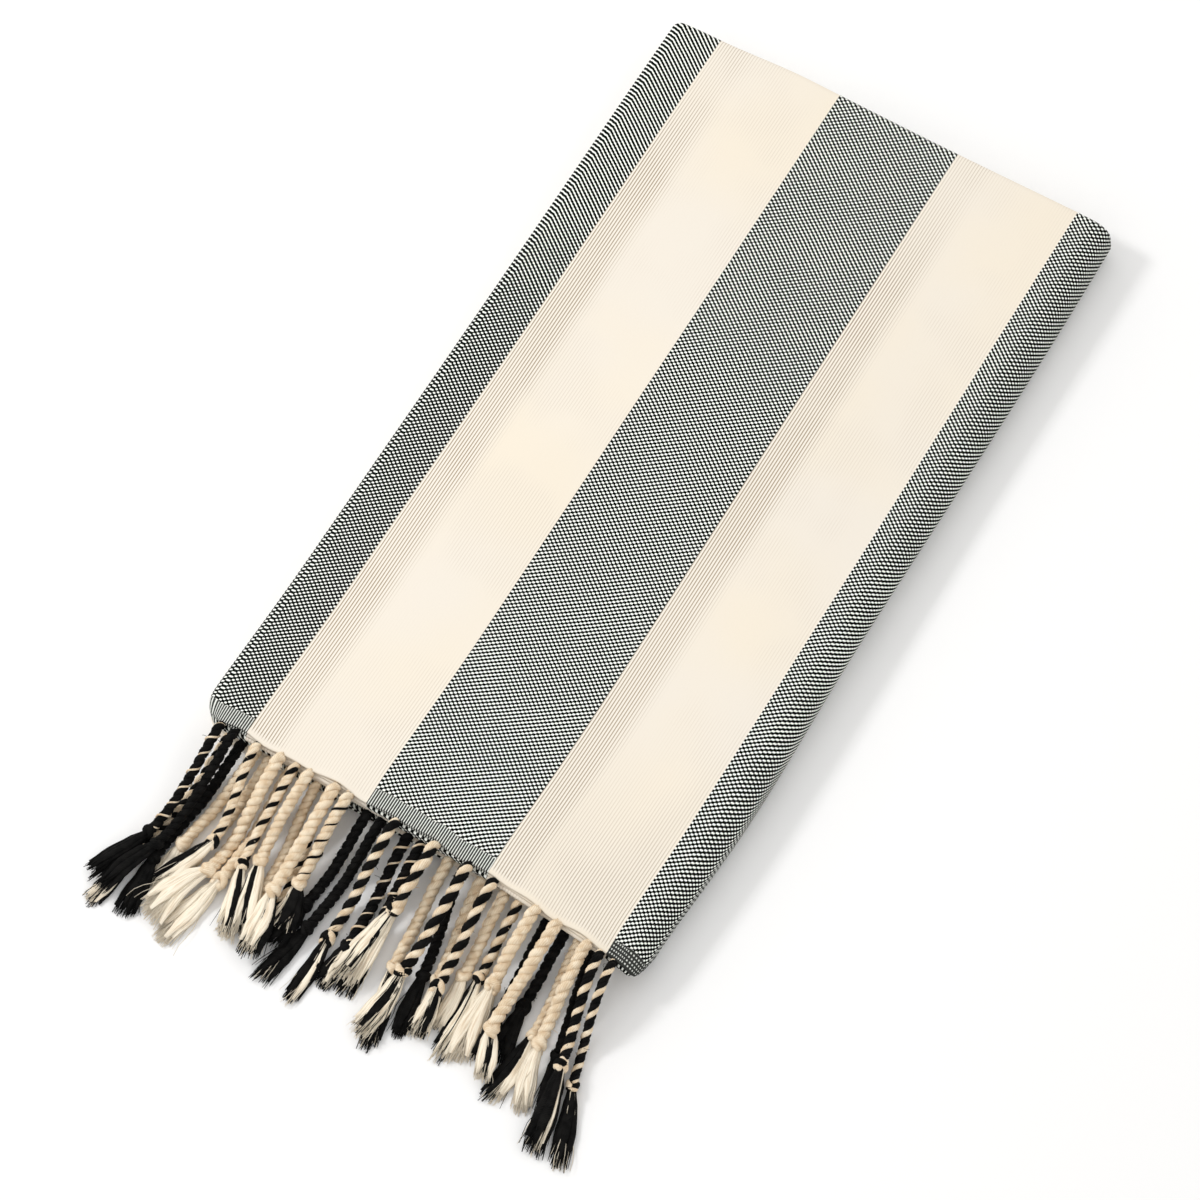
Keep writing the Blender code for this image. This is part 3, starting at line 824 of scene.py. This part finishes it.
def add_strays(mesh, path, rope, luck):
    """Fine loose fibres that stand off the twisted rope."""
    for _ in range(STRAYS_A_ROPE):
        distance = luck.uniform(STRAYS_FROM, 1.0) * path.knot
        outward = path.outward(distance, luck.uniform(0, pi))
        base = path.at(distance) + outward * STRAY_ROOT * rope.size
        drift = Vector((luck.gauss(0, STRAY_DRIFT), luck.gauss(0, STRAY_DRIFT), 0))
        drift.z = luck.uniform(-STRAY_RISE, STRAY_RISE)
        beads = []
        for i in range(STRAY_STEPS + 1):
            share = i / STRAY_STEPS
            place = base + drift * share + outward * (STRAY_ARCH * sin(pi * share))
            place.z = max(place.z, STRAY_REST)
            beads.append(Bead(place, STRAY_YARN, outward))
        add_strand(mesh, beads, 1.0, STRAY_SIDES, PLIES[rope.plies[0]].colour, luck.random())


def visible_path(line, rope):
    """The rope's middle line lifted for its full thickness, and dipped where it leaves the hem."""
    points = []
    passed = 0.0
    rope_half = (PLIES["c"].radius + PLIES["c"].offset) * rope.size
    knot_half = (KNOT_TUBE + KNOT_TURN_RADIUS) * rope.size
    for i, (along, place) in enumerate(line):
        if i:
            passed += (place - line[i - 1][1]).length
        at_knot = 1 - eased(abs(along - 1) / KNOT_REACH)
        shown = rope_half + (knot_half - rope_half) * at_knot
        shown *= 1 - eased(TUFT_LIFT_LOSS * (along - TUFT_LIFT_FROM))
        lift = max(0.0, shown - section_at(along)[1] / 2)
        dip = ROOT_DIP * (1 - eased(passed / ROOT_REACH))
        points.append(place + UP * (lift * eased(passed / ROOT_REACH) - dip))
    return Path(points, sum(1 for along, _ in line if along < 1))


def build_fringe(name, node, ropes, run, end, yarns, fallen, luck):
    """All ropes of one end, as a piece of twisted rope and knots and a piece of loose yarn."""
    twisted = Mesh()
    loose = Mesh()
    for rope in ropes:
        root = cloth_point(root_across(rope, run), end, 0.0)
        line = lay_rope(root, rope, fallen)
        path = visible_path(line, rope)
        add_plies(twisted, path, rope, luck)
        add_knot(twisted, path, rope, luck)
        add_tuft(loose, path, rope, luck)
        add_strays(loose, path, rope, luck)
    pieces = [twisted.build(name + "_ropes", yarns), loose.build(name + "_tufts", yarns)]
    for piece in pieces:
        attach(piece, "root")
        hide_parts(node)
    return pieces


# ---- materials
class Value:
    """A number that a node works out all over a surface, used in formulas like a plain number."""

    def __init__(self, nodes, socket):
        self.nodes = nodes
        self.socket = socket

    def __add__(self, other):
        return self.nodes.math("ADD", self, other)

    def __sub__(self, other):
        return self.nodes.math("SUBTRACT", self, other)

    def __rsub__(self, other):
        return self.nodes.math("SUBTRACT", other, self)

    def __mul__(self, other):
        return self.nodes.math("MULTIPLY", self, other)

    def __truediv__(self, other):
        return self.nodes.math("DIVIDE", self, other)


class Nodes:
    """Short ways to lay out a material's nodes."""

    def __init__(self, name):
        self.material = bpy.data.materials.new(name)
        self.material.use_nodes = True
        self.tree = self.material.node_tree
        self.shader = self.tree.nodes["Principled BSDF"]

    def add(self, kind, inputs=(), **settings):
        node = self.tree.nodes.new("ShaderNode" + kind)
        for key, value in settings.items():
            setattr(node, key, value)
        self.fill(node, inputs)
        return node

    def fill(self, node, inputs):
        for key, value in dict(inputs).items():
            self.put(node.inputs[key], value)

    def put(self, socket, value):
        """Links a socket to what a node works out, or sets it to a plain value."""
        if isinstance(value, Value):
            value = value.socket
        if isinstance(value, bpy.types.NodeSocket):
            self.tree.links.new(value, socket)
        else:
            socket.default_value = value

    def flat_place(self):
        """The place on a piece's flat UV map, whole and as its two coordinates."""
        flat = self.add("UVMap", uv_map="Flat").outputs["UV"]
        parts = self.add("SeparateXYZ", {"Vector": flat})
        return flat, Value(self, parts.outputs["X"]), Value(self, parts.outputs["Y"])

    def math(self, operation, *values):
        node = self.add("Math", operation=operation)
        for socket, value in zip(node.inputs, values):
            self.put(socket, value)
        return Value(self, node.outputs[0])

    def ramp(self, value, ramp):
        """Value turned from low..high into to_low..to_high, smoothly and clamped."""
        node = self.add("MapRange", interpolation_type="SMOOTHSTEP")
        for key, setting in enumerate((value, *ramp)):
            self.put(node.inputs[key], setting)
        return Value(self, node.outputs[0])

    def noise(self, place, scale, detail=2.0):
        """Soft patches from 0 to 1, about 1 / scale wide."""
        node = self.add("TexNoise", {"Vector": place, "Scale": scale, "Detail": detail})
        return Value(self, node.outputs["Fac"])

    def cosine(self, coordinate, period):
        """Cosine of a coordinate over a period."""
        return self.math("COSINE", coordinate * (2 * pi / period))

    def mix(self, share, first, second):
        """The first colour at share 0, the second at 1."""
        node = self.add("Mix", data_type="RGBA")
        colours = [socket for socket in node.inputs if socket.type == "RGBA"]
        self.put(node.inputs["Factor"], share)
        self.put(colours[0], first)
        self.put(colours[1], second)
        return next(socket for socket in node.outputs if socket.type == "RGBA")

    def bump(self, height, strength, distance):
        node = self.add("Bump", {"Strength": strength, "Distance": distance, "Height": height})
        self.fill(self.shader, {"Normal": node.outputs["Normal"]})

    def finish(self, colour, roughness, sheen=0.0, gloss=0.08):
        """The material, once its shader has its colour and is set to be matt."""
        self.fill(self.shader, {"Base Color": colour, "Roughness": roughness})
        self.fill(self.shader, {"Specular IOR Level": gloss, "Sheen Weight": sheen})
        return self.material


# The weave, in metres on the flat cloth. Across it, the top layer shows from 484 mm on, and its stripes
# begin at 510, 577, 645 and 712 mm. A ramp runs smoothly from one value to another between two places.
Ramp = namedtuple("Ramp", "low high to_low to_high", defaults=(0.0, 1.0))
STRIPE = 67.4 * MM  # the width of a stripe, and of the narrower first one
FIRST_STRIPE = 37.9 * MM
DOT_ACROSS = 3.05 * MM
DOT_ALONG = 2.38 * MM
DOT_DRIFT = 0.7 * MM  # how far the weave is drawn askew here and there
DRIFT_SCALE = 30.0
DOT_EDGE = Ramp(-0.17, -0.09)
MORE_LEFT = Ramp(505 * MM, 515 * MM, 0.13, 0.0)  # how much larger the dots are at the left and right
MORE_RIGHT = Ramp(717 * MM, 731 * MM, 0.0, 0.16)
# How far the lattice of dots leans from its falling to its rising slant, 0.5 showing both: from the hem
# to the far edge, in patches, less at the far left, and more at the right away from the hem
LEAN = Ramp(20 * MM, 430 * MM, 0.56, 0.44)
LEAN_PATCHES = Ramp(0.3, 0.7, -0.045, 0.045)
LEAN_SCALE = 26.0
LEAN_LEFT = Ramp(530 * MM, 550 * MM, 1.0, 0.0)
LEAN_LEFT_FAR = Ramp(190 * MM, 400 * MM, 0.0, 0.24)
LEAN_RIGHT = Ramp(717 * MM, 731 * MM, 0.0, 0.17)
LEAN_RIGHT_FAR = Ramp(60 * MM, 200 * MM, 0.35, 1.0)

HEM_BAND = Ramp(9.3 * MM, 10.1 * MM, 1.0, 0.0)  # where the hem's band of fine ribs ends, and how unevenly
HEM_UNEVEN = 3 * MM
HEM_UNEVEN_SCALE = 120.0
HEM_RIB = 1.3 * MM
HEM_RIB_SHADE = Ramp(-0.85, 0.15, 0.14, 0.96)
HEM_ROUGH = 0.8  # how much its single threads blur the ribs
WEFT = 1.9 * MM
WEFT_RIGHT = Ramp(700 * MM, 714 * MM)  # the ribs are a grid from here on
THREAD_SCALE = 900.0

# Lengthwise ribs of the cream stripes, drawn as lines of painted shade in their grooves where they show:
RIB = 1.5 * MM
RIB_SHADE = Ramp(0.1, 0.95)
RIBS_SIDE = Ramp(24 * MM, 12 * MM, 0.0, 0.95)  # the ribs show at one side of a stripe, less far away,
RIBS_SIDE_FAR = Ramp(360 * MM, 440 * MM, 1.0, 0.35)
RIBS_END = Ramp(110 * MM, 10 * MM, 0.0, 0.52)  # towards the hem, more so at the right,
RIBS_END_RIGHT = Ramp(590 * MM, 660 * MM, 0.35, 1.0)
RIBS_PATCHES = Ramp(0.45, 0.62, 0.0, 0.22)  # and in patches
RIBS_SCALE = 16.0
PLAIN_END = Ramp(1.2 * MM, 4.5 * MM)  # the very end is plain
WARM_PATCHES = Ramp(0.35, 0.7, 0.0, 0.5)
WARM_SCALE = 9.0
RIB_RELIEF = -0.5  # how far ribs, dots and threads stand up, as shares of the whole relief
DOT_RELIEF = 0.8
THREAD_RELIEF = 0.5

STRANDS_ROUND = 22.0  # strands that show round a lock of loose yarn, and how far they run side by side
STRAND_LENGTH = 14 * MM
STRAND_SHADE = Ramp(0.34, 0.56)
FIBRES_ROUND = 10.0  # fibres that show round a ply, and the length of one turn of them
FIBRE_PITCH = 1.3 * MM
FIBRE_SHADE = Ramp(0.30, 0.72)
FIBRE_WANDER = 2.2  # how far the fibres stray, how much painted shade they add, and how much the patches stand up
FIBRE_DEPTH = 0.12
PATCH_RELIEF = 1.5
PATCH_SCALE = 260.0

CREAM = (0.820, 0.760, 0.672, 1.0)
CREAM_WARM = (0.855, 0.760, 0.602, 1.0)
# Painted light between the ribs of a cream stripe, and painted shade in their grooves
CREAM_LIT_BETWEEN_RIBS = (0.875, 0.820, 0.730, 1.0)
CREAM_RIB_SHADE = (0.36, 0.28, 0.19, 1.0)
GROUND = (0.88, 0.90, 0.845, 1.0)
DOT = (0.003, 0.004, 0.003, 1.0)
# Yarns: a lit colour, and a colour of painted shade that is mixed in between fibres and strands and in
# patches
CREAM_YARN_LIT_AND_SHADE = (0.93, 0.805, 0.620, 1.0), (0.70, 0.53, 0.345, 1.0)
BLACK_YARN_LIT_AND_SHADE = (0.009, 0.0085, 0.008, 1.0), (0.002, 0.002, 0.002, 1.0)
LOOSE_CREAM_LIT_AND_SHADE = (0.95, 0.865, 0.710, 1.0), (0.74, 0.61, 0.45, 1.0)


def dotted_weave(nodes, flat, x, y, from_end):
    """1 on black dots and 0 on their ground: a lattice that leans to its rising or its falling slant."""
    drift = (nodes.noise(flat, DRIFT_SCALE) - 0.5) * DOT_DRIFT
    past_turn = nodes.math("MAXIMUM", x - OUTER_TURN.start, 0.0)
    unrolled = x + nodes.math("MINIMUM", past_turn, OUTER_TURN.length) * OUTER_STRETCH
    across = (unrolled + drift) / DOT_ACROSS
    along = (y - drift) / DOT_ALONG
    rising = nodes.cosine(across + along, 1.0)
    falling = nodes.cosine(across - along, 1.0)
    lean = nodes.ramp(from_end, LEAN) + nodes.ramp(nodes.noise(flat, LEAN_SCALE), LEAN_PATCHES)
    lean = lean - nodes.ramp(x, LEAN_LEFT) * nodes.ramp(from_end, LEAN_LEFT_FAR)
    lean = lean + nodes.ramp(x, LEAN_RIGHT) * nodes.ramp(from_end, LEAN_RIGHT_FAR)
    lattice = falling + (rising - falling) * lean
    lattice = lattice + nodes.ramp(x, MORE_LEFT) + nodes.ramp(x, MORE_RIGHT)
    return nodes.ramp(lattice, DOT_EDGE)


def hem_ribs(nodes, x, y, thread):
    """The black share of the hem's band: fine ribs across its end, and a grid at the right."""
    weft = (nodes.cosine(y, WEFT) + 1.0) * nodes.ramp(x, WEFT_RIGHT) - 1.0
    line = nodes.math("MAXIMUM", nodes.cosine(x, HEM_RIB), weft)
    return nodes.ramp(line + thread * HEM_ROUGH, HEM_RIB_SHADE)


def cream_colour(nodes, flat, in_stripe, x, from_end, rib):
    """A cream stripe's colour, its lengthwise ribs in painted shade with a painted lighter cream between
    them, and how far the ribs show.
    """
    side = nodes.ramp(in_stripe, RIBS_SIDE) * nodes.ramp(from_end, RIBS_SIDE_FAR)
    end = nodes.ramp(from_end, RIBS_END) * nodes.ramp(x, RIBS_END_RIGHT)
    patches = nodes.ramp(nodes.noise(flat, RIBS_SCALE), RIBS_PATCHES)
    shown = (nodes.math("MAXIMUM", side, end) + patches) * nodes.ramp(from_end, PLAIN_END)
    warmth = nodes.math("MAXIMUM", nodes.ramp(nodes.noise(flat, WARM_SCALE), WARM_PATCHES), end)
    # Painted light between the ribs and painted shade in their grooves
    cream = nodes.mix(shown, nodes.mix(warmth, CREAM, CREAM_WARM), CREAM_LIT_BETWEEN_RIBS)
    return nodes.mix(nodes.ramp(rib, RIB_SHADE) * shown, cream, CREAM_RIB_SHADE), shown


def cloth_material():
    """Cream stripes with lengthwise ribs, their grooves in painted shade, between stripes of black dots
    on an off-white ground.
    """
    nodes = Nodes("striped_cotton_weave")
    flat, x, y = nodes.flat_place()
    from_end = nodes.math("MINIMUM", y, FLAT_LENGTH - y)
    stripe = (x + (STRIPE - FIRST_STRIPE)) / STRIPE
    is_black = nodes.math("MODULO", nodes.math("FLOOR", stripe), 2.0)
    in_stripe = nodes.math("FRACT", stripe) * STRIPE
    thread = nodes.noise(flat, THREAD_SCALE) - 0.5

    dots = dotted_weave(nodes, flat, x, y, from_end)
    band_from = from_end + nodes.noise(flat, HEM_UNEVEN_SCALE) * HEM_UNEVEN
    woven = dots + (hem_ribs(nodes, x, y, thread) - dots) * nodes.ramp(band_from, HEM_BAND)
    rib = nodes.cosine(in_stripe, RIB)
    cream_stripe, ribs_shown = cream_colour(nodes, flat, in_stripe, x, from_end, rib)
    colour = nodes.mix(is_black, cream_stripe, nodes.mix(woven, GROUND, DOT))
    ribs = rib * ribs_shown * RIB_RELIEF
    height = ribs + (woven * DOT_RELIEF - ribs) * is_black + thread * THREAD_RELIEF
    nodes.bump(height, strength=0.6, distance=0.25 * MM)
    return nodes.finish(colour, roughness=0.9, sheen=0.02)


def loose_material(name, light, shade):
    """Loose cotton: fine strands run side by side along each lock, with painted shade between them."""
    nodes = Nodes(name)
    _, x, y = nodes.flat_place()
    place = nodes.add("CombineXYZ", {"X": x * STRANDS_ROUND, "Y": y / STRAND_LENGTH})
    strand = nodes.noise(place.outputs["Vector"], 1.0, detail=3.0)
    nodes.bump(strand, strength=0.9, distance=0.5 * MM)
    # Painted shade between the strands
    colour = nodes.mix(nodes.ramp(strand, STRAND_SHADE), shade, light)
    return nodes.finish(colour, roughness=0.85, sheen=0.05)


def yarn_material(name, light, shade, sheen):
    """Twisted cotton: fine fibres wind along each ply, and its colour goes from lit to painted shade over
    the fibres and in patches.
    """
    nodes = Nodes(name)
    _, x, y = nodes.flat_place()
    patches = nodes.noise(nodes.add("TexCoord").outputs["Object"], PATCH_SCALE, detail=3.0)
    fibre = nodes.cosine(x * FIBRES_ROUND + y / FIBRE_PITCH + patches * FIBRE_WANDER, 1.0)
    # Painted shade between the fibres and in patches
    lit = nodes.ramp(patches + fibre * FIBRE_DEPTH, FIBRE_SHADE)
    nodes.bump(fibre + patches * PATCH_RELIEF, strength=0.5, distance=0.12 * MM)
    return nodes.finish(nodes.mix(lit, shade, light), roughness=0.85, sheen=sheen)


# ---- studio
CAMERA_AZIMUTH = 30.42
CAMERA_ELEVATION = 63.85
CAMERA_DISTANCE = 2.409
CAMERA_TARGET = Vector((2.4, -68.8, 0)) * MM
CAMERA_LENS = 150.0
CAMERA_SENSOR = 36.0
LIGHT_FROM = Vector((-0.605, -0.120, 0.60))
LIGHT_AWAY = 1.7
LIGHT_SIZE = 0.31
LIGHT_POWER = 10.1
SKY_STRENGTH = 0.915
SKY = (1.0, 0.992, 0.98, 1.0)
FLOOR = (0.93, 0.93, 0.93, 1.0)
FLOOR_SIDE = 8.0
FLOOR_DROP = 0.1 * MM


def build_studio():
    """The floor, one soft light from the left and an even pale sky."""
    scene = bpy.context.scene
    scene.view_settings.view_transform = "Standard"
    half = FLOOR_SIDE / 2
    corners = [(-half, -half, 0), (half, -half, 0), (half, half, 0), (-half, half, 0)]
    data = bpy.data.meshes.new("floor")
    data.from_pydata(corners, [], [(0, 1, 2, 3)])
    data.materials.append(Nodes("pale_floor").finish(FLOOR, roughness=0.9, gloss=0.1))
    floor = add_object("floor", data)
    floor.location.z = -FLOOR_DROP

    light = bpy.data.lights.new("softbox", "AREA")
    light.size = LIGHT_SIZE
    light.energy = LIGHT_POWER
    softbox = add_object("softbox", light)
    softbox.location = LIGHT_FROM.normalized() * LIGHT_AWAY
    softbox.rotation_euler = (-LIGHT_FROM).to_track_quat("-Z", "Y").to_euler()

    world = bpy.data.worlds.new("studio")
    world.use_nodes = True
    sky = world.node_tree.nodes["Background"]
    sky.inputs["Color"].default_value = SKY
    sky.inputs["Strength"].default_value = SKY_STRENGTH
    scene.world = world


def build_camera():
    """The camera at the angle from which the towel was seen."""
    azimuth = radians(CAMERA_AZIMUTH)
    elevation = radians(CAMERA_ELEVATION)
    level = cos(elevation)
    back = Vector((sin(azimuth) * level, -cos(azimuth) * level, sin(elevation)))
    data = bpy.data.cameras.new("camera")
    data.lens = CAMERA_LENS
    data.sensor_width = CAMERA_SENSOR
    camera = add_object("camera", data)
    camera.location = CAMERA_TARGET + back * CAMERA_DISTANCE
    camera.rotation_euler = (-back).to_track_quat("-Z", "Y").to_euler()
    bpy.context.scene.camera = camera


def main():
    """The studio, both fringes in the order in which they fell, and the cloth."""
    build_camera()
    build_studio()
    luck = random.Random(SEED)
    yarns = [
        yarn_material("cream_cotton_yarn", *CREAM_YARN_LIT_AND_SHADE, sheen=0.05),
        yarn_material("black_cotton_yarn", *BLACK_YARN_LIT_AND_SHADE, sheen=0.008),
        loose_material("loose_cream_cotton", *LOOSE_CREAM_LIT_AND_SHADE),
    ]
    fallen = []
    fringe = build_fringe("under", "fringe_under", UNDER_ROPES, SECOND_RUN, 0.0, yarns, fallen, luck)
    fringe += build_fringe("top", "fringe_top", TOP_ROPES, TOP_RUN, FLAT_LENGTH, yarns, fallen, luck)
    cloth = build_cloth(cloth_material())
    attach(cloth, "root")
    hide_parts("towel")


main()
